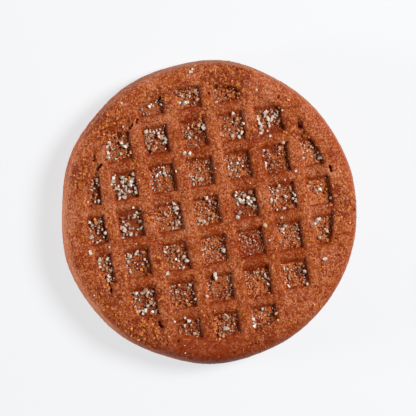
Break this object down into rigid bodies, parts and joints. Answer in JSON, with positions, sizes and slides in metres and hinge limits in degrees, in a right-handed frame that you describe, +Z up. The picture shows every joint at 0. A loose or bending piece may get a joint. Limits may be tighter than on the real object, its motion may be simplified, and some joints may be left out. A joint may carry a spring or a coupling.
{
  "type": "chocolate cookie",
  "caption": "Round chocolate cookie, flat underneath, with a waffle grid pressed into its top and coarse sugar baked into the pockets.",
  "frame": {"origin": "middle of the flat base, at the centre of the cookie's outline", "axes": "+Z up out of the waffled top, +Y towards the top of the cookie as the picture shows it, +X to its right"},
  "size_m": [0.059, 0.0608, 0.0086],
  "materials": {
    "dough": "baked brown chocolate dough, matt and crumbly, with darker pockets and a dusty pale rim",
    "sugar": "coarse sugar crystals, greyish white and slightly see-through",
    "crumb": "dry orange-brown crumbs, matt"
  },
  "bodies": {
    "root": {"cookie": "dough"}
  },
  "joints": []
}
